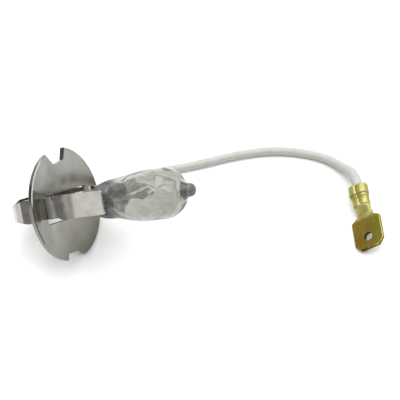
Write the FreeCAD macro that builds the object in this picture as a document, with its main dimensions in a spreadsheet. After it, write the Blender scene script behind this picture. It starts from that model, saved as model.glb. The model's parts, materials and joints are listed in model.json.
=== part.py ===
import FreeCAD, Part
import math
import os
import re
import Sketcher

# A single-filament halogen headlight bulb with a 22 mm prefocus flange, lying on a table with
# its lead. The lamp is drawn in its own frame and then laid down by one placement:
#   lamp X  across the two arms of the holder, from the near arm to the far arm
#   lamp Y  across the width of the holder strip, towards the upper notch
#   lamp Z  the lamp's axis, from the flange's front face towards the tip
# The model's frame has +Z up, z = 0 on the table and +X along the lamp's heading.

doc = FreeCAD.newDocument("HeadlightBulb")
Vector = FreeCAD.Vector

SIZES = {
    # prefocus flange
    "flange_radius": 11.0,
    "flange_thickness": 1.0,
    "flange_edge_break": 0.15,
    "slot_top": 2.55,
    "slot_bottom": -2.95,
    "notch_outer": 12.5,
    "upper_notch_left": -6.2,
    "upper_notch_right": 3.0,
    "upper_notch_floor": 8.05,
    "lower_notch_left": -2.3,
    "lower_notch_right": 1.95,
    "lower_notch_floor": -9.4,
    # holder strip
    "strip_thickness": 0.5,
    "strip_half_width": 2.3,
    "root_half_span": 6.9,
    "grip_half_span": 5.15,
    "rear_depth": 8.6,
    "flare_half_span": 7.6,
    "flare_start": 1.15,
    "flare_end": 5.4,
    "taper_start": 4.5,
    "taper_half_width": 1.5,
    "taper_inner_span": 4.0,
    "relief_start": 1.1,
    "relief_width": 0.6,
    "joggle_start": 1.6,
    "joggle_end": 4.0,
    "arm_length": 11.8,
    "rear_bend_radius": 0.9,
    "near_bend_radius": 2.2,
    "flare_bend_radius": 1.5,
    "root_bend_radius": 4.0,
    "joggle_bend_radius": 2.4,
    "arm_corner_radius": 0.5,
    "lead_hole_diameter": 2.1,
    "lead_depth": 4.6,
    # quartz capsule
    "bulb_radius": 4.9,
    "bulb_widest": 20.5,
    "bulb_taper": 13.3,
    "bulb_dome": 6.4,
    "cavity_radius": 3.8,
    "cavity_taper": 10.4,
    "cavity_dome": 5.0,
    "pinch_start": 0.8,
    "pinch_end": 12.4,
    "pinch_thickness": 3.7,
    "pinch_corner_radius": 2.4,
    "tip_start": 25.6,
    "tip_root_radius": 1.6,
    "tip_end_radius": 1.3,
    "tip_length": 2.35,
    # filament and the wires that carry it
    "light_centre": 18.0,
    "wire_half_spacing": 2.3,
    "inner_wire_radius": 0.18,
    "inner_wire_top": 18.7,
    "foil_start": 3.0,
    "foil_end": 8.6,
    "foil_width": 1.8,
    "foil_thickness": 0.1,
    "outer_wire_radius": 0.4,
    "outer_wire_bend": 1.0,
    "coil_outer_radius": 0.5,
    "coil_inner_radius": 0.32,
    # splice and lead
    "ferrule_start": 3.3,
    "ferrule_length": 2.2,
    "ferrule_radius": 0.75,
    "splice_middle": 4.3,
    "lead_radius": 0.85,
    "core_radius": 0.4,
    "core_in_crimp": 2.4,
    # male blade terminal
    "blade_half_width": 3.15,
    "blade_thickness": 0.8,
    "blade_start": 8.0,
    "blade_end": 14.3,
    "blade_tip_chamfer": 1.1,
    "blade_bevel": 0.22,
    "blade_hole_diameter": 1.8,
    "blade_hole_place": 11.8,
    "neck_half_width": 1.7,
    "neck_start": 5.2,
    "neck_height": 1.9,
    "shoulder_start": 7.2,
    "grip_start": 0.9,
    "grip_length": 2.0,
    "grip_half_width": 2.05,
    "grip_half_height": 1.45,
    "grip_height": 1.39,
    "waist_half_width": 1.65,
    "waist_half_height": 1.0,
    "waist_height": 1.2,
    "crimp_start": 3.2,
    "crimp_length": 2.0,
    "crimp_half_width": 1.8,
    "crimp_half_height": 1.15,
    "crimp_height": 1.09,
    "axis_height": 1.3,
    # how the lamp and the terminal lie
    "flange_centre_x": -7.55,
    "flange_centre_z": 9.918,
    "lamp_tilt": 59.6,
    "lamp_roll": 41.6,
    "terminal_x": 46.303,
    "terminal_y": 20.544,
    "terminal_z": 2.802,
    "terminal_heading": -72.0,
    "terminal_roll": 36.0,
}

# The lead's route on the table: straight out of the far arm, down to the table, and along it
# to the terminal. Every point is the middle of the lead.
LEAD_ROUTE = [
    (-9.436, 3.652, 4.043),
    (-7.569, 6.928, 0.860),
    (-3.05, 10.60, 0.86),
    (4.45, 15.10, 0.86),
    (12.75, 18.60, 0.86),
    (21.75, 23.50, 0.86),
    (29.35, 26.15, 0.86),
    (37.65, 26.60, 0.86),
    (42.60, 24.70, 1.30),
    (45.809, 22.066, 2.802),
    (47.168, 17.881, 2.802),
]

sheet = doc.addObject("Spreadsheet::Sheet", "Sizes")
for row, (alias, value) in enumerate(SIZES.items(), start=1):
    sheet.set(f"A{row}", alias)
    sheet.set(f"B{row}", str(value))
    sheet.setAlias(f"B{row}", alias)
doc.recompute()


def in_sheet(expression):
    """The same expression with every alias written as a cell of the sheet."""
    return re.sub(r"[a-z_]+", lambda word: f"Sizes.{word.group()}", expression)


def size(expression):
    """The value of an expression in the sheet's aliases, in millimetres or degrees."""
    result = sheet.evalExpression(in_sheet(expression))
    return float(getattr(result, "Value", result))


def bind(target, prop, expression):
    """Set a property of an object from an expression in the sheet's aliases."""
    target.setExpression(prop, in_sheet(expression))


def turn(axis, angle):
    return FreeCAD.Rotation(axis, angle)


X_AXIS, Y_AXIS, Z_AXIS = Vector(1, 0, 0), Vector(0, 1, 0), Vector(0, 0, 1)

LAMP_POSE = FreeCAD.Placement(
    Vector(size("flange_centre_x"), 0, size("flange_centre_z")),
    turn(Y_AXIS, size("lamp_tilt")).multiply(turn(Z_AXIS, size("lamp_roll"))),
)
TERMINAL_TURN = turn(Z_AXIS, size("terminal_heading")).multiply(turn(X_AXIS, size("terminal_roll")))
TERMINAL_POSE = FreeCAD.Placement(
    Vector(size("terminal_x"), size("terminal_y"), size("terminal_z"))
    - TERMINAL_TURN.multVec(Vector(0, 0, size("axis_height"))),
    TERMINAL_TURN,
)

parts = []


def keep(item, label):
    """Name a finished sub-part and put it on the list of those that are written out."""
    item.Label = label
    parts.append(item)
    return item


# ---------------------------------------------------------------- helpers for sketched bodies


def new_body(label, pose):
    body = doc.addObject("PartDesign::Body", label)
    body.Placement = pose
    return keep(body, label)


def new_sketch(body, name, plane, offset=0.0):
    """A sketch on one of the body's own origin planes, moved along the plane's normal."""
    sketch = body.newObject("Sketcher::SketchObject", name)
    origin_plane = [item for item in body.Origin.OriginFeatures if item.Role == plane][0]
    sketch.AttachmentSupport = (origin_plane, "")
    sketch.MapMode = "FlatFace"
    sketch.AttachmentOffset = FreeCAD.Placement(Vector(0, 0, offset), FreeCAD.Rotation())
    return sketch


def outline(sketch, corners):
    """A closed outline of straight edges whose corners are pairs of bound expressions."""
    values = [Vector(size(x), size(y), 0) for x, y in corners]
    first = sketch.GeometryCount
    for here, there in zip(values, values[1:] + values[:1]):
        sketch.addGeometry(Part.LineSegment(here, there), False)
    for index, (x, y) in enumerate(corners):
        line = first + index
        after = first + (index + 1) % len(corners)
        sketch.addConstraint(Sketcher.Constraint("Coincident", line, 2, after, 1))
        corner = values[index]
        for kind, expression, value in (("DistanceX", x, corner.x), ("DistanceY", y, corner.y)):
            number = sketch.addConstraint(Sketcher.Constraint(kind, line, 1, value))
            bind(sketch, f"Constraints[{number}]", expression)


def circle(sketch, x, y, radius):
    """A circle with a bound radius, its middle at bound places."""
    middle = Vector(size(x), size(y), 0)
    ring = sketch.addGeometry(Part.Circle(middle, Z_AXIS, size(radius)), False)
    number = sketch.addConstraint(Sketcher.Constraint("Radius", ring, size(radius)))
    bind(sketch, f"Constraints[{number}]", radius)
    for kind, expression, value, axis in (("DistanceX", x, middle.x, -2), ("DistanceY", y, middle.y, -1)):
        if value == 0:
            sketch.addConstraint(Sketcher.Constraint("PointOnObject", ring, 3, axis))
        else:
            number = sketch.addConstraint(Sketcher.Constraint(kind, ring, 3, value))
            bind(sketch, f"Constraints[{number}]", expression)


def add(body, kind, name, sketch, length, **settings):
    """A Pad or Pocket of a sketch, its change of volume compared with zero."""
    doc.recompute()
    before = body.Shape.Volume if body.Tip else 0.0
    feature = body.newObject(f"PartDesign::{kind}", name)
    feature.Profile = sketch
    for prop, value in settings.items():
        setattr(feature, prop, value)
    bind(feature, "Length", length)
    sketch.Visibility = False
    doc.recompute()
    change = body.Shape.Volume - before
    if change == 0 or (change < 0) != (kind == "Pocket"):
        raise RuntimeError(f"{name} changed the volume by {change:.4f}")
    return feature


def edges_where(body, test):
    """Names of the body's edges whose middle and direction, in its own frame, pass a test."""
    names = []
    inverse = body.Placement.inverse()
    for number, edge in enumerate(body.Shape.Edges, start=1):
        if edge.Length < 1e-6:
            continue
        middle = edge.valueAt((edge.FirstParameter + edge.LastParameter) / 2)
        along = edge.tangentAt((edge.FirstParameter + edge.LastParameter) / 2)
        if test(inverse.multVec(middle), inverse.Rotation.multVec(along)):
            names.append(f"Edge{number}")
    return names


def dress(body, kind, name, test, prop, expression):
    """A Fillet or Chamfer on the edges that pass a test."""
    names = edges_where(body, test)
    if not names:
        raise RuntimeError(f"{name} found no edge")
    base = body.Tip
    feature = body.newObject(f"PartDesign::{kind}", name)
    feature.Base = (base, names)
    bind(feature, prop, expression)
    doc.recompute()
    return feature


# ---------------------------------------------------------------- helpers for plain pieces


def place(item, pose, x=0.0, y=0.0, z=0.0, rotation=None):
    local = FreeCAD.Placement(Vector(x, y, z), rotation or FreeCAD.Rotation())
    item.Placement = pose.multiply(local)
    return item


def primitive(kind, name, pose, where, rotation=None, **sizes):
    """A Part primitive with bound sizes, at a place in the frame of a pose."""
    item = doc.addObject(f"Part::{kind}", name)
    for prop, expression in sizes.items():
        bind(item, prop, expression)
    return place(item, pose, *where, rotation)


def boolean(kind, name, first, second):
    item = doc.addObject(f"Part::{kind}", name)
    item.Base = first
    item.Tool = second
    return item


def fuse_all(name, items):
    item = doc.addObject("Part::MultiFuse", name)
    item.Shapes = items
    return item


def rounded_route(points, extra_start=0.0, extra_end=0.0):
    """Straight runs joined by tangent arcs, each as large as its two runs allow.

    Returns the edges and the arcs' radii. The ends can be drawn out along their own runs.
    """
    points = [Vector(*point) for point in points]
    runs = [there - here for here, there in zip(points, points[1:])]
    directions = [Vector(run).normalize() for run in runs]
    start = points[0] - directions[0] * extra_start
    edges, radii = [], []
    for index, corner in enumerate(points[1:-1]):
        arrive, leave = directions[index], directions[index + 1]
        half_turn = arrive.getAngle(leave) / 2
        reach = 0.45 * min(runs[index].Length, runs[index + 1].Length)
        radius = reach / math.tan(half_turn)
        begin = corner - arrive * reach
        finish = corner + leave * reach
        inward = (leave - arrive).normalize()
        middle = corner + inward * (radius / math.cos(half_turn) - radius)
        edges.append(Part.LineSegment(start, begin).toShape())
        edges.append(Part.Arc(begin, middle, finish).toShape())
        radii.append(radius)
        start = finish
    edges.append(Part.LineSegment(start, points[-1] + directions[-1] * extra_end).toShape())
    return edges, radii


def rod(edges, radius, bore=0.0):
    """A round rod along joined edges, or a tube where it has a bore."""
    path = Part.Wire(edges)
    start, along = edges[0].valueAt(0), edges[0].tangentAt(0)
    rims = [Part.Wire(Part.Circle(start, along, r).toShape()) for r in (radius, bore) if r > 0]
    solids = [path.makePipeShell([rim], True, True) for rim in rims]
    shape = solids[0] if len(solids) == 1 else solids[0].cut(solids[1])
    expected = math.pi * (radius ** 2 - bore ** 2) * path.Length
    if abs(shape.Volume / expected - 1) > 0.01:
        raise RuntimeError(f"a rod has {shape.Volume:.2f} mm3 and should have {expected:.2f}")
    return shape


def plain_feature(label, shape, pose=None):
    item = doc.addObject("Part::Feature", label)
    item.Shape = shape
    item.Placement = pose or FreeCAD.Placement()
    return keep(item, label)


# ---------------------------------------------------------------- prefocus flange


def make_flange():
    body = new_body("flange_disc", LAMP_POSE)
    disc = new_sketch(body, "FlangeOutline", "XY_Plane")
    circle(disc, "0", "0", "flange_radius")
    add(body, "Pad", "FlangePlate", disc, "flange_thickness", Reversed=True)
    dress(body, "Chamfer", "FlangeEdge", lambda p, d: True, "Size", "flange_edge_break")

    slot = new_sketch(body, "SlotOutline", "XY_Plane")
    outline(slot, [
        ("-root_half_span", "slot_bottom"),
        ("root_half_span", "slot_bottom"),
        ("root_half_span", "slot_top"),
        ("-root_half_span", "slot_top"),
    ])
    add(body, "Pocket", "Slot", slot, "flange_thickness * 2")

    # The upper notch has one steep side and one slanted side; the lower one is shallow and wide.
    notches = new_sketch(body, "NotchOutlines", "XY_Plane")
    outline(notches, [
        ("upper_notch_left", "notch_outer"),
        ("upper_notch_left + 4.1", "upper_notch_floor + 0.05"),
        ("upper_notch_left + 5.3", "upper_notch_floor"),
        ("upper_notch_right - 1.65", "upper_notch_floor + 0.55"),
        ("upper_notch_right", "notch_outer"),
    ])
    outline(notches, [
        ("lower_notch_left", "lower_notch_floor"),
        ("lower_notch_left - 0.9", "-notch_outer"),
        ("lower_notch_right + 3.6", "-notch_outer"),
        ("lower_notch_right", "lower_notch_floor"),
    ])
    add(body, "Pocket", "Notches", notches, "flange_thickness * 2")


# ---------------------------------------------------------------- holder strip


def make_holder():
    """One bent strip: a closed loop behind the flange and two arms that grip the pinch."""
    body = new_body("holder_strip", LAMP_POSE)
    profile = new_sketch(body, "StripProfile", "XZ_Plane")
    slope = "(strip_thickness * 0.28)"
    far_side = [
        ("root_half_span", "-rear_depth"),
        ("root_half_span", "joggle_start"),
        ("grip_half_span", "joggle_end"),
        ("grip_half_span", "arm_length"),
        ("grip_half_span - strip_thickness", "arm_length"),
        ("grip_half_span - strip_thickness", f"joggle_end - {slope}"),
        ("root_half_span - strip_thickness", f"joggle_start - {slope}"),
        ("root_half_span - strip_thickness", "strip_thickness - rear_depth"),
    ]
    # The near leg flares outwards behind the flange before it turns into the loop's rear wall.
    near_side = [
        ("strip_thickness - flare_half_span", "strip_thickness - rear_depth"),
        ("strip_thickness - flare_half_span", "-flare_end"),
        ("strip_thickness - root_half_span", "-flare_start"),
        ("strip_thickness - root_half_span", f"joggle_start - {slope}"),
        ("strip_thickness - grip_half_span", f"joggle_end - {slope}"),
        ("strip_thickness - grip_half_span", "arm_length"),
        ("-grip_half_span", "arm_length"),
        ("-grip_half_span", "joggle_end"),
        ("-root_half_span", "joggle_start"),
        ("-root_half_span", "-flare_start"),
        ("-flare_half_span", "-flare_end"),
        ("-flare_half_span", "-rear_depth"),
    ]
    outline(profile, far_side + near_side)
    add(body, "Pad", "Strip", profile, "strip_half_width * 2", Midplane=True)

    def across(direction):
        return abs(direction.y) > 0.99

    def rear_edge(side, inset):
        depth = size("rear_depth") - inset
        return lambda p, d: across(d) and abs(p.z + depth) < 0.1 and p.x * side > 0

    def flare(p, d):
        return across(d) and p.x < 0 and -7.0 < p.z < -0.5

    def joggle(place):
        reach = size("strip_thickness")
        return lambda p, d: across(d) and abs(p.z - size(place)) < reach

    def arm_corner(p, d):
        return abs(d.x) > 0.99 and p.z > size("arm_length") - 0.1

    thickness = size("strip_thickness")
    bends = (("Far", 1, "rear_bend_radius"), ("Near", -1, "near_bend_radius"))
    for name, side, radius in bends:
        dress(body, "Fillet", f"{name}Bend", rear_edge(side, 0), "Radius", radius)
        dress(body, "Fillet", f"{name}BendInside", rear_edge(side, thickness), "Radius",
              f"{radius} - strip_thickness")
    dress(body, "Fillet", "FlareBends", flare, "Radius", "flare_bend_radius")
    dress(body, "Fillet", "JoggleBends", joggle("joggle_end"), "Radius", "joggle_bend_radius")
    dress(body, "Fillet", "RootBends", joggle("joggle_start"), "Radius", "root_bend_radius")
    dress(body, "Fillet", "ArmCorners", arm_corner, "Radius", "arm_corner_radius")

    hole = new_sketch(body, "LeadHole", "YZ_Plane")
    circle(hole, "0", "-lead_depth", "lead_hole_diameter / 2")
    add(body, "Pocket", "LeadPassage", hole, "root_half_span + 1", Reversed=True)

    # The near leg narrows towards the rear wall, which is as narrow there.
    leg = new_sketch(body, "LegTaper", "YZ_Plane", size("1 - root_half_span"))
    wall = new_sketch(body, "WallTaper", "XY_Plane", size("1 - rear_depth"))
    for sign in ("", "-"):
        outline(leg, [
            (f"{sign}strip_half_width", "-taper_start"),
            (f"{sign}taper_half_width", "1 - rear_depth"),
            (f"{sign}taper_half_width", "-rear_depth - 1"),
            (f"{sign}strip_half_width * 1.2", "-rear_depth - 1"),
            (f"{sign}strip_half_width * 1.2", "-taper_start"),
        ])
        outline(wall, [
            ("-flare_half_span - 1", f"{sign}taper_half_width"),
            ("1 - root_half_span", f"{sign}taper_half_width"),
            ("-taper_inner_span", f"{sign}strip_half_width"),
            ("-taper_inner_span", f"{sign}strip_half_width * 1.2"),
            ("-flare_half_span - 1", f"{sign}strip_half_width * 1.2"),
        ])
    add(body, "Pocket", "NarrowLeg", leg, "3")
    add(body, "Pocket", "NarrowWall", wall, "2")

    # Bend reliefs beside the roots of both arms: one short slit, and one long shallow one.
    relief = new_sketch(body, "RootReliefs", "YZ_Plane")
    outline(relief, [
        ("strip_half_width - 0.75", "relief_start"),
        ("strip_half_width + 0.5", "relief_start"),
        ("strip_half_width + 0.5", "relief_start + relief_width"),
        ("strip_half_width - 0.75", "relief_start + relief_width"),
    ])
    outline(relief, [
        ("0.45 - strip_half_width", "-flare_start"),
        ("0.45 - strip_half_width", "relief_start * 2"),
        ("-strip_half_width - 0.5", "relief_start * 2 + 0.95"),
        ("-strip_half_width - 0.5", "-flare_start - 0.95"),
    ])
    add(body, "Pocket", "RootRelief", relief, "root_half_span * 4", Midplane=True)


# ---------------------------------------------------------------- wires, foils and filament


def near_outer_route(x):
    """Straight back from the foil to the loop's rear wall, where the wire is welded."""
    wall = size("strip_thickness - rear_depth")
    return [Part.LineSegment(Vector(x, 0, size("foil_start")), Vector(x, 0, wall)).toShape()]


def far_outer_route(x):
    """Back from the foil and round one bend into the splice ferrule."""
    bend, depth = size("outer_wire_bend"), size("lead_depth")
    midway = bend * (1 - math.sqrt(0.5))
    down = Part.LineSegment(Vector(x, 0, size("foil_start")), Vector(x, 0, bend - depth))
    corner = Part.Arc(Vector(x, 0, bend - depth), Vector(x + midway, 0, midway - depth),
                      Vector(x + bend, 0, -depth))
    out = Part.LineSegment(Vector(x + bend, 0, -depth), Vector(size("splice_middle"), 0, -depth))
    return [down.toShape(), corner.toShape(), out.toShape()]


def make_wires():
    """The two current paths up to the filament, from the splice and from the holder strip."""
    made = []
    for side, name in ((-1, "near"), (1, "far")):
        x = side * size("wire_half_spacing")
        inner = primitive("Cylinder", f"{name}_inner_wire", LAMP_POSE, (x, 0, size("foil_end")),
                          Radius="inner_wire_radius", Height="inner_wire_top - foil_end")
        foil = primitive("Box", f"{name}_foil", LAMP_POSE,
                         (x - size("foil_width") / 2, -size("foil_thickness") / 2, size("foil_start")),
                         Length="foil_width", Width="foil_thickness", Height="foil_end - foil_start")
        shape = far_outer_route(x) if side > 0 else near_outer_route(x)
        outer = plain_feature(f"{name}_outer_wire", rod(shape, size("outer_wire_radius")), LAMP_POSE)
        keep(inner, inner.Name)
        keep(foil, foil.Name)
        made += [inner, foil, outer]
    return made


def make_filament():
    """The coil stands across the lamp between the two inner wires, drawn as its outer sleeve."""
    half = size("wire_half_spacing - inner_wire_radius")
    lying = turn(Y_AXIS, 90)
    where = (-half, 0, size("light_centre"))
    length = "( wire_half_spacing - inner_wire_radius ) * 2"
    sleeve = primitive("Cylinder", "CoilOutside", LAMP_POSE, where, lying,
                       Radius="coil_outer_radius", Height=length)
    core = primitive("Cylinder", "CoilInside", LAMP_POSE, where, lying,
                     Radius="coil_inner_radius", Height=length)
    keep(boolean("Cut", "FilamentCoil", sleeve, core), "filament_coil")


# ---------------------------------------------------------------- quartz capsule


def half_ellipsoid(name, axial, radial, upper):
    low, high = ("0", "90") if upper else ("-90", "0")
    return primitive("Ellipsoid", name, LAMP_POSE, (0, 0, size("bulb_widest")),
                     Radius1=axial, Radius2=radial, Radius3=radial, Angle1=low, Angle2=high)


def make_capsule(embedded):
    """A quartz bulb with a press-sealed end and a drawn-off tip, hollow around the filament."""
    lower = half_ellipsoid("BulbTaper", "bulb_taper", "bulb_radius", False)
    dome = half_ellipsoid("BulbDome", "bulb_dome", "bulb_radius", True)
    tip = primitive("Cone", "TipStem", LAMP_POSE, (0, 0, size("tip_start")),
                    Radius1="tip_root_radius", Radius2="tip_end_radius", Height="tip_length")
    drop = primitive("Sphere", "TipDrop", LAMP_POSE, (0, 0, size("tip_start + tip_length")),
                     Radius="tip_end_radius")

    half_span = size("grip_half_span - strip_thickness")
    slab = primitive("Box", "PinchSlab", LAMP_POSE,
                     (-half_span, -size("pinch_thickness") / 2, size("pinch_start")),
                     Length="( grip_half_span - strip_thickness ) * 2",
                     Width="pinch_thickness", Height="pinch_end - pinch_start")
    doc.recompute()
    inverse = LAMP_POSE.inverse()
    rounding = []
    for number, edge in enumerate(slab.Shape.Edges, start=1):
        middle = inverse.multVec(edge.CenterOfMass)
        if middle.z > size("pinch_end") - 0.01 and abs(middle.y) < 0.01:
            radius = size("pinch_corner_radius")
            rounding.append((number, radius, radius))
    pinch = doc.addObject("Part::Fillet", "Pinch")
    pinch.Base = slab
    pinch.Edges = rounding

    glass = fuse_all("CapsuleOutside", [lower, dome, tip, drop, pinch])
    hollow = [
        half_ellipsoid("CavityTaper", "cavity_taper", "cavity_radius", False),
        half_ellipsoid("CavityDome", "cavity_dome", "cavity_radius", True),
    ]
    inside = fuse_all("CapsuleInside", hollow + embedded)
    keep(boolean("Cut", "QuartzCapsule", glass, inside), "quartz_capsule")


# ---------------------------------------------------------------- splice, lead and terminal


def make_splice():
    lying = turn(Y_AXIS, 90)
    where = (size("ferrule_start"), 0, -size("lead_depth"))
    sleeve = primitive("Cylinder", "FerruleOutside", LAMP_POSE, where, lying,
                       Radius="ferrule_radius", Height="ferrule_length")
    bore = primitive("Cylinder", "FerruleBore", LAMP_POSE, where, lying,
                     Radius="outer_wire_radius", Height="ferrule_length")
    keep(boolean("Cut", "SpliceFerrule", sleeve, bore), "splice_ferrule")


def make_lead():
    edges, radii = rounded_route(LEAD_ROUTE)
    print("lead arc radii, mm:", [round(radius, 1) for radius in radii])
    print(f"lead length, mm: {Part.Wire(edges).Length:.1f}")
    plain_feature("lead_insulation", rod(edges, size("lead_radius"), size("core_radius")))
    hidden = size("ferrule_start + ferrule_length - splice_middle")
    longer, _ = rounded_route(LEAD_ROUTE, hidden, size("core_in_crimp"))
    plain_feature("lead_core", rod(longer, size("core_radius")))


def make_terminal():
    """A brass blade with a conductor crimp and a wider insulation grip, stamped in one piece.

    Its own frame has +X towards the blade's tip and z = 0 on the blade's lower face. The two
    barrels stand on the upper side, with the lead through them.
    """
    body = new_body("male_terminal", TERMINAL_POSE)
    plan = new_sketch(body, "BladePlan", "XY_Plane")
    one_side = [
        ("neck_start", "neck_half_width"),
        ("shoulder_start", "neck_half_width"),
        ("blade_start", "blade_half_width"),
        ("blade_end - blade_tip_chamfer", "blade_half_width"),
        ("blade_end", "blade_half_width - blade_tip_chamfer"),
    ]
    other_side = [(x, f"0 - ( {y} )") for x, y in reversed(one_side)]
    outline(plan, one_side + other_side)
    add(body, "Pad", "Blade", plan, "blade_thickness")

    def blade_rim(p, d):
        return p.x > size("blade_start") + 0.5 and abs(d.z) < 0.1

    dress(body, "Chamfer", "BladeBevel", blade_rim, "Size", "blade_bevel")

    hole = new_sketch(body, "BladeHole", "XY_Plane")
    circle(hole, "blade_hole_place", "0", "blade_hole_diameter / 2")
    add(body, "Pocket", "CatchHole", hole, "blade_thickness", Reversed=True)

    neck = new_sketch(body, "NeckProfile", "XZ_Plane")
    outline(neck, [
        ("neck_start", "0"),
        ("neck_start", "neck_height"),
        ("shoulder_start", "blade_thickness"),
        ("shoulder_start", "0"),
    ])
    add(body, "Pad", "Neck", neck, "neck_half_width * 2", Midplane=True)

    barrels = (
        ("InsulationGrip", "grip", "grip_start", "grip_length", "lead_radius"),
        ("Waist", "waist", "grip_start + grip_length", "crimp_start - grip_start - grip_length",
         "core_radius"),
        ("ConductorCrimp", "crimp", "crimp_start", "crimp_length", "core_radius"),
    )
    for name, kind, start, length, bore in barrels:
        ring = new_sketch(body, f"{name}Section", "YZ_Plane", size(start))
        half_width, half_height = size(f"{kind}_half_width"), size(f"{kind}_half_height")
        middle = Vector(0, size(f"{kind}_height"), 0)
        ring.addGeometry(Part.Ellipse(middle, half_width, half_height), False)
        circle(ring, "0", "axis_height", bore)
        add(body, "Pad", name, ring, length)


make_flange()
make_holder()
embedded_wires = make_wires()
make_filament()
make_capsule(embedded_wires)
make_splice()
make_lead()
make_terminal()
doc.recompute()

for item in doc.Objects:
    if "Invalid" in item.State or "Error" in item.State:
        raise RuntimeError(f"{item.Name} failed: {item.State}")

os.makedirs("parts", exist_ok=True)
for item in parts:
    if item.Shape.isNull() or not item.Shape.isValid() or not item.Shape.Solids:
        raise RuntimeError(f"{item.Label} has no valid solid")
    item.Shape.exportStep(f"parts/{item.Label}.step")
    box = item.Shape.BoundBox
    print(f"{item.Label:18s} {item.Shape.Volume:9.3f} mm3  x {box.XMin:7.2f} {box.XMax:7.2f}"
          f"  y {box.YMin:7.2f} {box.YMax:7.2f}  z {box.ZMin:7.3f} {box.ZMax:7.2f}"
          f"  solids {len(item.Shape.Solids)}")
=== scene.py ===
import json
import math
import bmesh
import bpy
from mathutils import Matrix, Vector, noise as perlin


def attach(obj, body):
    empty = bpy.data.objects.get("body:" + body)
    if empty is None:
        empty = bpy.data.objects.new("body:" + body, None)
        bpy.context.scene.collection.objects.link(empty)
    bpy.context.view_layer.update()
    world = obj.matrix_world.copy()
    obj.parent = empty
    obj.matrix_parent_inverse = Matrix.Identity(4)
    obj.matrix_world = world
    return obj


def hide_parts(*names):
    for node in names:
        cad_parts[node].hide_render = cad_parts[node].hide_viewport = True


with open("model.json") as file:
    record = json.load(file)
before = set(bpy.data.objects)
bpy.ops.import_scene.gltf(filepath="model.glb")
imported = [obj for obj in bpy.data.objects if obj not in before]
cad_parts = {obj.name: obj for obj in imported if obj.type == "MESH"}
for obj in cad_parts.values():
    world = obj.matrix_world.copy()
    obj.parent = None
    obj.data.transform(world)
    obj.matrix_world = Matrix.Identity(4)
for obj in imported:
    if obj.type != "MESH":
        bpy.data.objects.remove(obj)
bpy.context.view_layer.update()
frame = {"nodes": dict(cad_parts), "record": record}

# The lamp's own frame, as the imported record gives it: its axis is the flange's mount, and the
# flange's middle is the pin mount moved to the front face.
MM = 0.001
mounts = {mount["name"]: mount for mount in frame["record"]["mounts"]}
LAMP_ROLL = math.radians(41.6)
FLANGE_THICKNESS = 1.0 * MM

lamp_z = Vector(mounts["flange_rim"]["axis"]).normalized()
level = Vector((-lamp_z.z, 0.0, lamp_z.x))
across = Vector((0.0, 1.0, 0.0))
lamp_x = across * math.sin(LAMP_ROLL) - level * math.cos(LAMP_ROLL)
lamp_y = across * math.cos(LAMP_ROLL) + level * math.sin(LAMP_ROLL)
flange_centre = Vector(mounts["flange_rim"]["pos_m"]) + lamp_z * FLANGE_THICKNESS / 2
LAMP = Matrix.Translation(flange_centre) @ Matrix((lamp_x, lamp_y, lamp_z)).transposed().to_4x4()


def lamp_point(x, y, z):
    """A point of the lamp's own frame, in millimetres, as a point of the scene."""
    return LAMP @ (Vector((x, y, z)) * MM)


# ---------------------------------------------------------------- camera and cord

scene = bpy.context.scene
CAMERA_AZIMUTH = math.radians(12.14)
CAMERA_ELEVATION = math.radians(60.0)
CAMERA_DISTANCE = 0.330
CAMERA_AIM = Vector((0.0173, 0.0061, 0.0101))
CAMERA_LENS = 154.0


def make_camera():
    data = bpy.data.cameras.new("camera")
    data.lens = CAMERA_LENS
    data.sensor_width = 36.0
    camera = bpy.data.objects.new("camera", data)
    away = Vector((
        math.sin(CAMERA_AZIMUTH) * math.cos(CAMERA_ELEVATION),
        -math.cos(CAMERA_AZIMUTH) * math.cos(CAMERA_ELEVATION),
        math.sin(CAMERA_ELEVATION),
    ))
    camera.location = CAMERA_AIM + away * CAMERA_DISTANCE
    camera.rotation_euler = (math.pi / 2 - CAMERA_ELEVATION, 0.0, CAMERA_AZIMUTH)
    scene.collection.objects.link(camera)
    bpy.context.scene.camera = camera


make_camera()


# How the terminal lies: its lead's axis starts at the place, and points along the heading.
TERMINAL_PLACE = (0.046303, 0.020544, 0.002802)
TERMINAL_HEADING = math.radians(-72.0)
TERMINAL_ROLL = math.radians(36.0)
AXIS_HEIGHT = 1.3
TERMINAL_TURN = Matrix.Rotation(TERMINAL_HEADING, 4, "Z") @ Matrix.Rotation(TERMINAL_ROLL, 4, "X")
TERMINAL = (Matrix.Translation(TERMINAL_PLACE) @ TERMINAL_TURN
            @ Matrix.Translation((0.0, 0.0, -AXIS_HEIGHT * MM)))


# ---------------------------------------------------------------- mesh helpers


def new_object(name, data, material):
    item = bpy.data.objects.new(name, data)
    scene.collection.objects.link(item)
    data.materials.append(material)
    return item


def mesh_object(name, vertices, faces, material, matrix=None):
    """A smooth-shaded mesh from points in millimetres of a local frame."""
    mesh = bpy.data.meshes.new(name)
    place = matrix or Matrix()
    mesh.from_pydata([place @ (Vector(vertex) * MM) for vertex in vertices], [], faces)
    mesh.update()
    for polygon in mesh.polygons:
        polygon.use_smooth = True
    return new_object(name, mesh, material)


def ring_faces(ring_count, ring_size, first=0, flip=False):
    """Quads between successive rings, and a fan-free cap at each end."""
    faces = []
    for ring in range(ring_count - 1):
        for step in range(ring_size):
            after = (step + 1) % ring_size
            low, high = first + ring * ring_size, first + (ring + 1) * ring_size
            faces.append((low + step, low + after, high + after, high + step))
    faces.append(tuple(first + step for step in reversed(range(ring_size))))
    last = first + (ring_count - 1) * ring_size
    faces.append(tuple(last + step for step in range(ring_size)))
    if flip:
        faces = [tuple(reversed(face)) for face in faces]
    return faces


def smooth_step(value, low, high):
    part = min(max((value - low) / (high - low), 0.0), 1.0)
    return part * part * (3 - 2 * part)


def blend(first, second, part):
    return first + (second - first) * part


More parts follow.
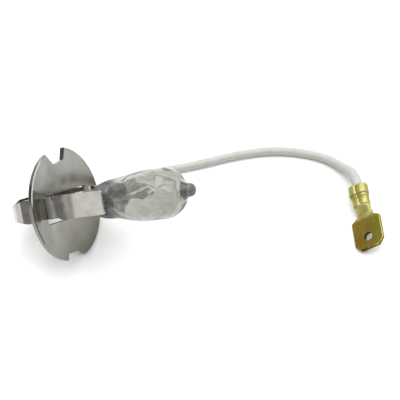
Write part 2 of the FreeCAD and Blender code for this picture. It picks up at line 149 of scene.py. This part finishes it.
def add_modifier(item, kind, **settings):
    modifier = item.modifiers.new(kind.lower(), kind)
    for prop, value in settings.items():
        setattr(modifier, prop, value)
    return modifier


def apply_modifiers(item):
    """Replace the object's mesh by its evaluated one, with no modifier left."""
    graph = bpy.context.evaluated_depsgraph_get()
    graph.update()
    mesh = bpy.data.meshes.new_from_object(item.evaluated_get(graph), preserve_all_data_layers=True,
                                           depsgraph=graph)
    item.modifiers.clear()
    item.data = mesh


def tube_curve(name, points, radius, material, order=3):
    """A round wire along the smooth curve that a few control points, in metres, guide."""
    data = bpy.data.curves.new(name, "CURVE")
    data.dimensions = "3D"
    data.bevel_depth = radius
    data.bevel_resolution = 8
    data.resolution_u = 24
    data.use_fill_caps = True
    spline = data.splines.new("NURBS")
    spline.points.add(len(points) - 1)
    for control, point in zip(spline.points, points):
        control.co = (*point, 1.0)
    spline.order_u = order
    spline.use_endpoint_u = True
    return new_object(name, data, material)


# ---------------------------------------------------------------- materials


def new_material(name):
    material = bpy.data.materials.new(name)
    material.use_nodes = True
    nodes = material.node_tree.nodes
    return material, nodes, material.node_tree.links, nodes["Principled BSDF"]


def noise(nodes, links, scale, detail=4.0, seed=0.0):
    """Noise in the object's own coordinates; scale is in features per metre."""
    place = nodes.new("ShaderNodeTexCoord")
    mapping = nodes.new("ShaderNodeMapping")
    mapping.inputs["Location"].default_value = (seed, seed, seed)
    texture = nodes.new("ShaderNodeTexNoise")
    texture.inputs["Scale"].default_value = scale
    texture.inputs["Detail"].default_value = detail
    links.new(place.outputs["Object"], mapping.inputs["Vector"])
    links.new(mapping.outputs["Vector"], texture.inputs["Vector"])
    return texture.outputs["Fac"]


def ramp(nodes, links, source, stops):
    node = nodes.new("ShaderNodeValToRGB")
    elements = node.color_ramp.elements
    while len(elements) < len(stops):
        elements.new(0.5)
    for element, (place, colour) in zip(elements, stops):
        element.position = place
        element.color = (*colour, 1.0)
    links.new(source, node.inputs["Fac"])
    return node.outputs["Color"]


def value_range(nodes, links, source, low, high, from_low=0.3, from_high=0.7):
    node = nodes.new("ShaderNodeMapRange")
    node.inputs["From Min"].default_value = from_low
    node.inputs["From Max"].default_value = from_high
    node.inputs["To Min"].default_value = low
    node.inputs["To Max"].default_value = high
    links.new(source, node.inputs["Value"])
    return node.outputs["Result"]


def along_axis(nodes, links, position, start, direction):
    """How far a surface point is along a fixed axis of the object, in metres."""
    shift = nodes.new("ShaderNodeVectorMath")
    shift.operation = "SUBTRACT"
    shift.inputs[1].default_value = start
    along = nodes.new("ShaderNodeVectorMath")
    along.operation = "DOT_PRODUCT"
    along.inputs[1].default_value = direction
    links.new(position, shift.inputs[0])
    links.new(shift.outputs["Vector"], along.inputs[0])
    return along.outputs["Value"]


def mixed(nodes, links, factor, first, second):
    node = nodes.new("ShaderNodeMix")
    node.data_type = "RGBA"
    links.new(factor, node.inputs[0])
    links.new(first, node.inputs[6])
    links.new(second, node.inputs[7])
    return node.outputs[2]


def bump(nodes, links, height, strength, distance, shader):
    node = nodes.new("ShaderNodeBump")
    node.inputs["Strength"].default_value = strength
    node.inputs["Distance"].default_value = distance
    links.new(height, node.inputs["Height"])
    links.new(node.outputs["Normal"], shader.inputs["Normal"])


def metal(name, stops, rough, noise_scale, bump_scale, bump_depth):
    """Plated or plain metal: cloudy colour, uneven polish and fine rolling marks."""
    material, nodes, links, shader = new_material(name)
    shader.inputs["Metallic"].default_value = 1.0
    cloud = noise(nodes, links, noise_scale, 6.0)
    links.new(ramp(nodes, links, cloud, stops), shader.inputs["Base Color"])
    polish = noise(nodes, links, noise_scale * 2.3, 3.0, seed=5.0)
    links.new(value_range(nodes, links, polish, *rough), shader.inputs["Roughness"])
    marks = noise(nodes, links, bump_scale, 5.0, seed=9.0)
    bump(nodes, links, marks, 0.35, bump_depth, shader)
    return material


def darken_low_side(material):
    """Darker, yellower plating towards the flange's lower side, the side on the table."""
    nodes, links = material.node_tree.nodes, material.node_tree.links
    shader = nodes["Principled BSDF"]
    plating = shader.inputs["Base Color"].links[0].from_socket
    place = nodes.new("ShaderNodeTexCoord").outputs["Object"]
    reach = along_axis(nodes, links, place, LAMP.translation, (0.0, 0.0, 1.0))
    # The colour is fully the darker, yellower tone below the lower height and the plating's own
    # above the upper one.
    fully_darkened, unchanged = -6.5 * MM, 1.5 * MM
    darkened = value_range(nodes, links, reach, 1.0, 0.0, fully_darkened, unchanged)
    cloud = noise(nodes, links, 240.0, 5.0, seed=17.0)
    low_side_tone = ramp(nodes, links, cloud, [(0.35, (0.146, 0.143, 0.115)),
                                       (0.65, (0.190, 0.187, 0.158))])
    links.new(mixed(nodes, links, darkened, plating, low_side_tone), shader.inputs["Base Color"])


def scuff_bends(material):
    """The forming tool leaves the strip dull at its root and at the bend into the arm."""
    nodes, links = material.node_tree.nodes, material.node_tree.links
    shader = nodes["Principled BSDF"]
    polish = shader.inputs["Roughness"].links[0].from_socket
    place = nodes.new("ShaderNodeTexCoord").outputs["Object"]
    reach = along_axis(nodes, links, place, LAMP.translation, lamp_z)
    part = value_range(nodes, links, reach, 0.0, 1.0, 0.0, 10.0 * MM)
    dull, unchanged = (1.0, 1.0, 1.0), (0.0, 0.0, 0.0)
    zones = ramp(nodes, links, part, [(0.0, unchanged), (0.02, dull), (0.15, dull), (0.21, unchanged),
                                      (0.29, unchanged), (0.37, dull), (0.43, dull), (0.54, unchanged)])
    matt = nodes.new("ShaderNodeMath")
    matt.operation = "MULTIPLY_ADD"
    added_roughness = 0.30
    matt.inputs[1].default_value = added_roughness
    links.new(zones, matt.inputs[0])
    links.new(polish, matt.inputs[2])
    links.new(matt.outputs["Value"], shader.inputs["Roughness"])


def brass():
    """Pale satin on the pressed barrels, brown to olive tarnish on the blade, painted shade on its
    edges.
    """
    material, nodes, links, shader = new_material("brass")
    shader.inputs["Metallic"].default_value = 1.0
    cloud = noise(nodes, links, 330.0, 5.0)
    pale = ramp(nodes, links, cloud, [(0.32, (0.364, 0.340, 0.117)), (0.52, (0.406, 0.381, 0.138)),
                                      (0.70, (0.448, 0.413, 0.162))])
    brown = ramp(nodes, links, cloud, [(0.34, (0.31, 0.185, 0.028)), (0.66, (0.37, 0.245, 0.042))])
    olive = ramp(nodes, links, cloud, [(0.34, (0.27, 0.230, 0.034)), (0.66, (0.33, 0.285, 0.050))])
    place = nodes.new("ShaderNodeTexCoord").outputs["Object"]
    ahead, aside, above = [TERMINAL_TURN.to_3x3() @ axis for axis in Matrix.Identity(3)]
    reach = along_axis(nodes, links, place, TERMINAL_PLACE, ahead)
    side = along_axis(nodes, links, place, TERMINAL_PLACE, aside)
    height = along_axis(nodes, links, place, TERMINAL_PLACE, above)
    all_brown, all_olive = -2.4 * MM, 1.8 * MM
    dark = mixed(nodes, links, value_range(nodes, links, side, 0.0, 1.0, all_brown, all_olive),
                 brown, olive)
    neck_end, blade_start = 7.3 * MM, 8.1 * MM
    on_blade = value_range(nodes, links, reach, 0.0, 1.0, neck_end, blade_start)
    face = mixed(nodes, links, on_blade, pale, dark)
    # Painted shade: the blade's edges below a line just under its top face, and its underside, are
    # coloured nearly black.
    shade_top, shade_blur = (0.60 - AXIS_HEIGHT) * MM, 0.03 * MM
    below_top = value_range(nodes, links, height, 1.0, 0.0, shade_top, shade_top + shade_blur)
    in_edge_shade = nodes.new("ShaderNodeMath")
    in_edge_shade.operation = "MULTIPLY"
    links.new(below_top, in_edge_shade.inputs[0])
    links.new(on_blade, in_edge_shade.inputs[1])
    edge = ramp(nodes, links, cloud, [(0.34, (0.055, 0.050, 0.012)), (0.66, (0.085, 0.078, 0.018))])
    colour = mixed(nodes, links, in_edge_shade.outputs["Value"], face, edge)
    links.new(colour, shader.inputs["Base Color"])
    polish = noise(nodes, links, 900.0, 3.0, seed=5.0)
    satin = value_range(nodes, links, polish, 0.46, 0.58)
    bright = value_range(nodes, links, polish, 0.20, 0.32)
    links.new(mixed(nodes, links, on_blade, satin, bright), shader.inputs["Roughness"])
    bump(nodes, links, noise(nodes, links, 3000.0, 5.0, seed=9.0), 0.4, 0.000008, shader)
    return material


def make_materials():
    table = {}
    table["nickel"] = metal(
        "nickel_plate",
        [(0.32, (0.205, 0.201, 0.178)), (0.52, (0.240, 0.237, 0.220)),
         (0.70, (0.272, 0.268, 0.254))],
        (0.10, 0.22), 210.0, 2500.0, 0.000005,
    )
    darken_low_side(table["nickel"])
    table["strip"] = metal(
        "nickel_strip",
        [(0.35, (0.46, 0.443, 0.40)), (0.60, (0.535, 0.52, 0.48))],
        (0.09, 0.20), 420.0, 3000.0, 0.000004,
    )
    scuff_bends(table["strip"])
    table["molybdenum"] = metal(
        "molybdenum",
        [(0.35, (0.42, 0.41, 0.395)), (0.65, (0.56, 0.55, 0.53))],
        (0.25, 0.42), 1200.0, 6000.0, 0.000004,
    )
    table["tungsten"] = metal(
        "tungsten",
        [(0.35, (0.48, 0.48, 0.485)), (0.65, (0.60, 0.60, 0.605))],
        (0.30, 0.45), 2500.0, 9000.0, 0.000003,
    )
    table["copper"] = metal(
        "copper_strands",
        [(0.35, (0.50, 0.24, 0.13)), (0.65, (0.68, 0.36, 0.20))],
        (0.25, 0.40), 1500.0, 8000.0, 0.000006,
    )
    table["brass"] = brass()

    material, nodes, links, shader = new_material("white_insulation")
    grain = noise(nodes, links, 900.0, 4.0)
    white = ramp(nodes, links, grain, [(0.3, (0.385, 0.380, 0.352)), (0.7, (0.445, 0.440, 0.412))])
    links.new(white, shader.inputs["Base Color"])
    shader.inputs["Roughness"].default_value = 0.42
    shader.inputs["Subsurface Weight"].default_value = 0.15
    shader.inputs["Subsurface Radius"].default_value = (0.0008, 0.0008, 0.0007)
    bump(nodes, links, noise(nodes, links, 2600.0, 3.0, seed=3.0), 0.25, 0.00002, shader)
    table["insulation"] = material

    material, nodes, links, shader = new_material("quartz")
    shader.inputs["Transmission Weight"].default_value = 0.92
    shader.inputs["IOR"].default_value = 1.458
    place = nodes.new("ShaderNodeTexCoord")
    reach = along_axis(nodes, links, place.outputs["Object"], LAMP.translation, lamp_z)
    # Painted shade: the blown bulb is tinted grey, and only the solid seal and tip are clear; the
    # real quartz is clear.
    part = value_range(nodes, links, reach, 0.0, 1.0, 0.0, 30.0 * MM)
    clear, shade_grey = (0.97, 0.97, 0.955), (0.785, 0.78, 0.75)
    tint = ramp(nodes, links, part, [(0.28, clear), (0.42, shade_grey), (0.86, shade_grey), (0.90, clear)])
    links.new(tint, shader.inputs["Base Color"])
    cloudy = value_range(nodes, links, reach, 0.04, 0.22, 26.8 * MM, 28.0 * MM)
    links.new(cloudy, shader.inputs["Roughness"])
    bump(nodes, links, noise(nodes, links, 420.0, 2.5, seed=7.0), 0.5, 0.00006, shader)
    # The grey absorption inside the glass is painted shade as well.
    shade_absorption = nodes.new("ShaderNodeVolumeAbsorption")
    shade_absorption.inputs["Color"].default_value = (0.30, 0.33, 0.28, 1.0)
    shade_absorption.inputs["Density"].default_value = 370.0
    links.new(shade_absorption.outputs["Volume"], nodes["Material Output"].inputs["Volume"])
    table["quartz"] = material
    return table


MATERIALS = make_materials()


# ---------------------------------------------------------------- quartz capsule

BULB_RADIUS = 4.9
BULB_WIDEST = 20.5
BULB_TAPER = 13.3
BULB_DOME = 6.3
DOME_POWER = 2.5
SHOULDER_RISE = 0.40
SHOULDER_MIDDLE = 10.3
SHOULDER_SPREAD = 1.5
CAVITY_RADIUS = 3.8
CAVITY_TAPER = 10.9
CAVITY_TAPER_POWER = 2.8
CAVITY_DOME = 4.8
CAVITY_DOME_POWER = 2.2
PINCH_START = 0.8
PINCH_HALF_SPAN = 4.6
PINCH_HALF_THICKNESS = 1.85
PINCH_POWER = 7.0
TIP_ROOT = 1.62
TIP_END = 1.33
TIP_SHOULDER = 28.3
TIP_TOP = 29.22
BODY_SHIFT = -0.2
RING_STEPS = 144


def bulb_radius(z):
    """Half width of the round bulb at a height: an ellipse below, a blunter dome above."""
    if z > BULB_WIDEST:
        reach = min((z - BULB_WIDEST) / BULB_DOME, 1.0)
        return BULB_RADIUS * (1.0 - reach ** DOME_POWER) ** (1 / DOME_POWER)
    reach = (BULB_WIDEST - z) / BULB_TAPER
    return BULB_RADIUS * math.sqrt(max(1.0 - reach * reach, 0.0))


def body_centre(z):
    """The blown body sits slightly to one side of the axis; the seal and the tip are on it."""
    return (0.0, BODY_SHIFT * smooth_step(z, 10.0, 15.0) * (1 - smooth_step(z, 24.5, 27.2)))


def wobble(point, size, depth, seed):
    """Hand-worked glass is never quite round: a slow, even unevenness around the axis."""
    x, y, z = point
    swell = perlin.noise(Vector((x, y, z)) / size + Vector((seed, seed, seed)))
    reach = math.hypot(x, y)
    factor = 1.0 + depth * swell / max(reach, depth)
    return (x * factor, y * factor, z)


def section(half_x, half_y, power, z, centre=(0.0, 0.0)):
    ring = []
    for step in range(RING_STEPS):
        angle = 2 * math.pi * step / RING_STEPS
        cosine, sine = math.cos(angle), math.sin(angle)
        x = half_x * math.copysign(abs(cosine) ** (2 / power), cosine)
        y = half_y * math.copysign(abs(sine) ** (2 / power), sine)
        ring.append((x + centre[0], y + centre[1], z))
    return ring


def capsule_outer():
    """Sections from the flat press seal, through the rounded bulb, to the drawn-off tip."""
    rings = []
    for edge, z in ((0.35, PINCH_START), (0.08, PINCH_START + 0.12), (0.0, PINCH_START + 0.4)):
        rings.append(section(PINCH_HALF_SPAN - edge, PINCH_HALF_THICKNESS - edge, PINCH_POWER, z))
    lower_count, upper_count, tip_count, end_count = 60, 36, 14, 10
    for step in range(lower_count + 1):
        z = blend(2.2, BULB_WIDEST, step / lower_count)
        radius = bulb_radius(z)
        shoulder = SHOULDER_RISE * math.exp(-((z - SHOULDER_MIDDLE) / SHOULDER_SPREAD) ** 2)
        half_x = blend(PINCH_HALF_SPAN, radius, smooth_step(z, 9.2, 13.0))
        half_y = blend(PINCH_HALF_THICKNESS, radius + shoulder, smooth_step(z, 6.6, 10.6))
        power = blend(PINCH_POWER, 2.0, smooth_step(z, 7.8, 12.2))
        rings.append(section(half_x, half_y, power, z, body_centre(z)))
    for step in range(1, upper_count + 1):
        angle = math.pi / 2 * step / upper_count
        z = BULB_WIDEST + BULB_DOME * math.sin(angle) ** (2 / DOME_POWER)
        radius = bulb_radius(z)
        if radius < TIP_ROOT + 0.5:
            break
        low, foot = z, radius - TIP_ROOT
        rings.append(section(radius, radius, 2.0, z, body_centre(z)))
    for step in range(1, tip_count + 1):
        part = step / tip_count
        radius = blend(TIP_ROOT, TIP_END, smooth_step(part, 0.1, 1.0)) + foot * (1 - part) ** 5
        z = blend(low, TIP_SHOULDER, part)
        rings.append(section(radius, radius, 2.0, z, body_centre(z)))
    for step in range(1, end_count + 1):
        angle = math.pi / 2 * step / (end_count + 0.6)
        radius = TIP_END * math.cos(angle)
        rings.append(section(radius, radius, 2.0, blend(TIP_SHOULDER, TIP_TOP, math.sin(angle))))
    uneven = []
    for ring in rings:
        depth = 0.05 + 0.16 * smooth_step(ring[0][2], 12.0, 25.0)
        depth *= smooth_step(ring[0][2], 6.0, 11.0)
        uneven.append([wobble(wobble(point, 3.1, depth, 4.0), 1.3, depth * 0.45, 11.0)
                       for point in ring])
    return uneven


def capsule_inner():
    rings, count = [], 72
    for step in range(1, count):
        angle = math.pi * step / count
        below = angle < math.pi / 2
        reach = CAVITY_TAPER if below else CAVITY_DOME
        power = CAVITY_TAPER_POWER if below else CAVITY_DOME_POWER
        rise = abs(math.cos(angle)) ** (2 / power) * reach
        z = BULB_WIDEST - rise if below else BULB_WIDEST + rise
        radius = CAVITY_RADIUS * math.sin(angle) ** (2 / power)
        ring = section(radius, radius, 2.0, z, body_centre(z))
        rings.append([wobble(wobble(point, 2.6, 0.22, 21.0), 1.1, 0.09, 31.0) for point in ring])
    return rings


def make_capsule():
    outer, inner = capsule_outer(), capsule_inner()
    vertices = [point for ring in outer + inner for point in ring]
    faces = ring_faces(len(outer), RING_STEPS)
    faces += ring_faces(len(inner), RING_STEPS, len(outer) * RING_STEPS, flip=True)
    capsule = mesh_object("quartz_bulb", vertices, faces, MATERIALS["quartz"], LAMP)
    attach(capsule, "root")
    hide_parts("quartz_capsule")
    return capsule


make_capsule()


# ---------------------------------------------------------------- filament

LIGHT_CENTRE = 18.0
POST_SPACING = 2.3


def make_filament():
    """A fine coil between the two posts, with a straight leg welded to each."""
    turns, steps, half_length, radius, wire_radius = 12, 20, 1.45, 0.32, 0.045
    side, lift, leg = 0.28, 0.1, half_length + 0.2
    points = [(-POST_SPACING, side, LIGHT_CENTRE), (-leg, side, LIGHT_CENTRE + lift)]
    for step in range(turns * steps + 1):
        part = step / (turns * steps)
        angle = 2 * math.pi * turns * part
        points.append((blend(-half_length, half_length, part), radius * math.cos(angle),
                       LIGHT_CENTRE + radius * math.sin(angle)))
    points += [(leg, side, LIGHT_CENTRE + lift), (POST_SPACING, side, LIGHT_CENTRE)]
    coil = tube_curve("filament", [lamp_point(*point) for point in points], wire_radius * MM,
                      MATERIALS["tungsten"])
    coil.data.bevel_resolution = 3
    coil.data.resolution_u = 2
    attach(coil, "root")
    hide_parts("filament_coil")


make_filament()


# ---------------------------------------------------------------- lead and terminal

LEAD_ROUTE = [
    (-0.009436, 0.003652, 0.004043),
    (-0.007569, 0.006928, 0.000860),
    (-0.00305, 0.01060, 0.00086),
    (0.00445, 0.01510, 0.00086),
    (0.01275, 0.01860, 0.00086),
    (0.02175, 0.02350, 0.00086),
    (0.02935, 0.02615, 0.00086),
    (0.03765, 0.02660, 0.00086),
    (0.04260, 0.02470, 0.00130),
    (0.045809, 0.022066, 0.002802),
    (0.047168, 0.017881, 0.002802),
]
LEAD_RADIUS = 0.85 * MM
STRAND_RADIUS = 0.135
HOLE_PLACE = 11.8
HOLE_RADIUS = 0.9
CUT_EDGE_BEVEL = 0.045
# Half of a closed crimp's outer line, from the middle of its back round to the tip of its wing,
# as parts of the half width and the half height.
WING = [(0.0, -1.0), (0.42, -0.94), (0.78, -0.66), (0.97, -0.20), (0.98, 0.30), (0.86, 0.72),
        (0.54, 0.96), (0.24, 0.98), (0.05, 0.86), (0.012, 0.60), (0.012, 0.30)]


def smooth_line(points, steps=6):
    """Catmull-Rom points through the given points of a section."""
    line = []
    for index in range(len(points) - 1):
        near = [points[min(max(index + shift, 0), len(points) - 1)] for shift in (-1, 0, 1, 2)]
        for step in range(steps):
            t = step / steps
            weights = ((-t + 2 * t * t - t ** 3) / 2, (2 - 5 * t * t + 3 * t ** 3) / 2,
                       (t + 4 * t * t - 3 * t ** 3) / 2, (t ** 3 - t * t) / 2)
            line.append(tuple(sum(w * p[axis] for w, p in zip(weights, near)) for axis in (0, 1)))
    return line + [points[-1]]


def sheet_ring(x, line, thickness):
    """A closed ring around a sheet, from its outer line and its thickness towards the inside."""
    inner = []
    for step, (y, z) in enumerate(line):
        before, after = line[max(step - 1, 0)], line[min(step + 1, len(line) - 1)]
        run, rise = after[0] - before[0], after[1] - before[1]
        length = math.hypot(run, rise)
        inner.append((x, y - rise / length * thickness, z + run / length * thickness))
    return [(x, y, z) for y, z in line] + inner[::-1]


def loft(name, rings, material, matrix):
    vertices = [point for ring in rings for point in ring]
    item = mesh_object(name, vertices, ring_faces(len(rings), len(rings[0])), material, matrix)
    shape = bmesh.new()
    shape.from_mesh(item.data)
    bmesh.ops.recalc_face_normals(shape, faces=shape.faces)
    shape.to_mesh(item.data)
    shape.free()
    return item


def barrel(name, start, end, half_width, half_height, centre, thickness):
    """One closed crimp: two wings rolled over from the sheet and pressed down between them."""
    half = smooth_line([(-WING[1][0], WING[1][1]), *WING])[6:]
    rings = []
    for x, shrink in ((start, 0.06), (start + 0.05, 0.015), (start + 0.14, 0.0),
                      (end - 0.14, 0.0), (end - 0.05, 0.015), (end, 0.06)):
        right = [(y * (half_width - shrink), z * (half_height - shrink) + centre) for y, z in half]
        left = [(-y, z) for y, z in right[:0:-1]]
        rings.append(sheet_ring(x, left + right, thickness - shrink))
    return loft(name, rings, MATERIALS["brass"], TERMINAL)


def neck_ring(x, half_width, height, steps=48, power=2.2):
    """A closed section of the pinched neck, flat below and softly rounded above."""
    ring = []
    for step in range(steps):
        angle = 2 * math.pi * step / steps
        cosine, sine = math.cos(angle), math.sin(angle)
        y = half_width * math.copysign(abs(cosine) ** (2 / power), cosine)
        ring.append((x, y, height / 2 * (1 + math.copysign(abs(sine) ** (2 / power), sine))))
    return ring


def unite(item, others, operation="UNION"):
    for other in others:
        add_modifier(item, "BOOLEAN", object=other, operation=operation, solver="EXACT",
                     use_self=True)
    return others


def make_terminal():
    """Insulation grip, conductor crimp, neck and blade, all one stamping; sizes in millimetres."""
    # x, half width, lower face, upper face, bevel of the long edges
    stations = [
        (6.20, 1.60, 0.04, 0.76, 0.03),
        (7.10, 1.68, 0.0, 0.80, 0.03),
        (7.22, 1.73, 0.0, 0.80, 0.03),
        (7.60, 2.45, 0.0, 0.80, 0.05),
        (7.92, 3.03, 0.0, 0.80, 0.08),
        (8.15, 3.15, 0.0, 0.80, 0.12),
        (8.60, 3.15, 0.0, 0.80, 0.20),
        (13.05, 3.15, 0.0, 0.80, 0.20),
        (14.08, 2.22, 0.0, 0.80, 0.20),
        (14.30, 2.00, 0.20, 0.60, 0.03),
    ]
    rings = []
    for x, half, low, high, edge in stations:
        right = [(half - edge, low), (half, low + edge), (half, high - edge / 2),
                 (half - edge / 2, high)]
        left = [(-y, z) for y, z in reversed(right)]
        rings.append([(x, y, z) for y, z in right + left])
    blade = loft("brass_blade", rings, MATERIALS["brass"], TERMINAL)
    # x, half width, height
    neck_stations = [(4.80, 1.66, 2.10), (5.10, 1.70, 2.02), (5.45, 1.70, 1.84), (6.00, 1.68, 1.46),
                     (6.55, 1.68, 1.10), (7.05, 1.70, 0.87), (7.60, 1.72, 0.81), (7.95, 1.66, 0.74)]
    neck = loft("neck", [neck_ring(*station) for station in neck_stations], MATERIALS["brass"],
                TERMINAL)
    grip = barrel("insulation_grip", 0.9, 2.9, 2.05, 1.45, 1.39, 0.40)
    waist = barrel("waist", 2.80, 3.40, 1.90, 1.28, 1.22, 0.36)
    crimp = barrel("conductor_crimp", 3.2, 5.2, 1.80, 1.15, 1.09, 0.42)

    cutter_mesh = bpy.data.meshes.new("catch_hole_cutter")
    cutter_shape = bmesh.new()
    bmesh.ops.create_cone(cutter_shape, cap_ends=True, segments=48,
                          radius1=HOLE_RADIUS * MM, radius2=HOLE_RADIUS * MM, depth=4 * MM)
    bmesh.ops.transform(cutter_shape, verts=cutter_shape.verts,
                        matrix=TERMINAL @ Matrix.Translation((HOLE_PLACE * MM, 0.0, 0.4 * MM)))
    cutter_shape.to_mesh(cutter_mesh)
    cutter_shape.free()
    cutter = new_object("catch_hole_cutter", cutter_mesh, MATERIALS["brass"])
    helpers = unite(blade, [neck, crimp, waist, grip]) + unite(blade, [cutter], "DIFFERENCE")
    add_modifier(blade, "BEVEL", width=CUT_EDGE_BEVEL * MM, segments=2, limit_method="ANGLE",
                 angle_limit=math.radians(40))
    apply_modifiers(blade)
    # The large flat faces are shaded flat, and only the rolled and bevelled ones smooth.
    above = TERMINAL_TURN.to_3x3() @ Vector((0.0, 0.0, 1.0))
    for polygon in blade.data.polygons:
        polygon.use_smooth = abs(polygon.normal.dot(above)) < 0.999
    for helper in helpers:
        bpy.data.objects.remove(helper)
    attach(blade, "root")
    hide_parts("male_terminal")
    return blade


def make_lead(blade):
    route = [Vector(point) for point in LEAD_ROUTE]
    lead = tube_curve("lead", route, LEAD_RADIUS, MATERIALS["insulation"])
    # The insulation is squeezed wider where it enters the grip.
    near_end = lead.data.splines[0].points
    near_end[-3].radius, near_end[-2].radius = 1.05, 1.5
    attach(lead, "root")
    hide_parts("lead_insulation")

    into_ferrule = (route[0] - route[1]).normalized() * 1.2 * MM
    into_crimp = (route[-1] - route[-2]).normalized() * 2.4 * MM
    core_route = [route[0] + into_ferrule, *route, route[-1] + into_crimp * 0.9]
    core = tube_curve("lead_strands", core_route, STRAND_RADIUS * MM, MATERIALS["copper"])
    for index in range(6):
        angle = math.pi * index / 3
        strand = core.data.splines.new("NURBS")
        reach = [(2.4, 2.0), (3.4, 1.9), (5.0 + 0.08 * (index % 3), 2.0)]
        strand.points.add(len(reach) - 1)
        for control, (x, spread) in zip(strand.points, reach):
            side = spread * STRAND_RADIUS * math.cos(angle)
            height = spread * STRAND_RADIUS * math.sin(angle)
            spot = TERMINAL @ (Vector((x, side, AXIS_HEIGHT + height)) * MM)
            control.co = (*spot, 1.0)
        strand.order_u = 3
        strand.use_endpoint_u = True
    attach(core, "root")
    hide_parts("lead_core")


make_lead(make_terminal())


# ---------------------------------------------------------------- carried-over CAD pieces

CAD_FINISH = {
    "flange_disc": "nickel",
    "holder_strip": "strip",
    "splice_ferrule": "nickel",
    "near_inner_wire": "molybdenum",
    "far_inner_wire": "molybdenum",
    "near_foil": "molybdenum",
    "far_foil": "molybdenum",
    "near_outer_wire": "molybdenum",
    "far_outer_wire": "molybdenum",
}
for node, finish in CAD_FINISH.items():
    for slot in frame["nodes"][node].material_slots:
        slot.material = MATERIALS[finish]


# ---------------------------------------------------------------- floor and lights


def make_floor():
    half = 1.5
    mesh = bpy.data.meshes.new("floor")
    mesh.from_pydata([(-half, -half, 0), (half, -half, 0), (half, half, 0), (-half, half, 0)], [],
                     [(0, 1, 2, 3)])
    material, nodes, links, shader = new_material("pale_floor")
    shader.inputs["Base Color"].default_value = (0.93, 0.93, 0.93, 1.0)
    shader.inputs["Roughness"].default_value = 0.7
    shader.inputs["Specular IOR Level"].default_value = 0.1
    new_object("floor", mesh, material)


def area_light(name, place, aim, width, height, power):
    data = bpy.data.lights.new(name, "AREA")
    data.shape = "RECTANGLE"
    data.size, data.size_y = width, height
    data.energy = power
    light = bpy.data.objects.new(name, data)
    light.location = place
    light.rotation_euler = (Vector(aim) - Vector(place)).to_track_quat("-Z", "Y").to_euler()
    scene.collection.objects.link(light)


def make_light():
    world = bpy.data.worlds.new("studio")
    scene.world = world
    world.use_nodes = True
    background = world.node_tree.nodes["Background"]
    background.inputs["Color"].default_value = (1.0, 1.0, 1.0, 1.0)
    background.inputs["Strength"].default_value = 0.24
    scene.view_settings.view_transform = "Standard"
    aim = (0.01, 0.0, 0.01)
    # name, place, aim, width, height in metres, power in watts
    lights = (
        ("overhead", (0.0, 0.75, 1.50), (0.0, 0.7501, 0.0), 3.0, 2.6, 72.0),
        ("back_wall", (0.20, 1.40, 0.45), aim, 2.4, 0.9, 4.7),
        ("left_front", (-0.57, -0.41, 0.12), aim, 0.60, 0.20, 0.32),
        ("left_back", (-0.60, 0.34, 0.22), aim, 0.50, 0.36, 0.27),
        ("right_wall", (1.30, -0.10, 0.45), aim, 1.8, 0.8, 2.3),
        ("front_low", (0.0, -1.20, 0.30), aim, 2.0, 0.5, 1.3),
    )
    for light in lights:
        area_light(*light)


make_floor()
make_light()
